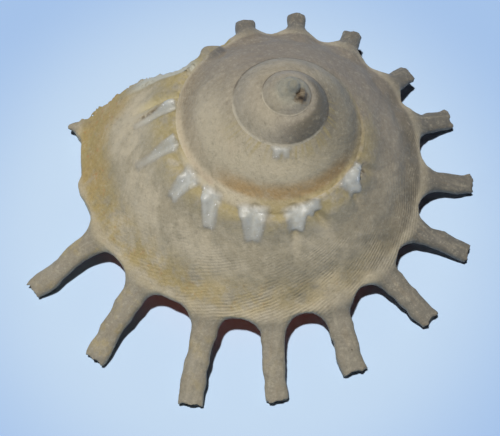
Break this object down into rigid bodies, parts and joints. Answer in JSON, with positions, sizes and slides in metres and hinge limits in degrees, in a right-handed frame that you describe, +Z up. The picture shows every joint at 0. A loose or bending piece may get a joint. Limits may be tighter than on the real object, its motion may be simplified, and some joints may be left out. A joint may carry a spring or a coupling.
{
  "type": "sunburst carrier shell",
  "caption": "Low coiled sea shell with a flared rim of hollow finger-like digits, lying on their tips with its slanting mouth underneath.",
  "frame": {"origin": "on the surface that the shell lies on, under the middle of its bounding box", "axes": "+Z up from that surface; the mouth and the lip are on the -X side, the longest digits point towards -Y"},
  "size_m": [0.1086, 0.0972, 0.039],
  "materials": {
    "shell": "worn cream-grey shell with ochre and brown bands, fine slanting ribs and a dull gloss"
  },
  "bodies": {
    "root": {"shell": "shell"}
  },
  "joints": []
}
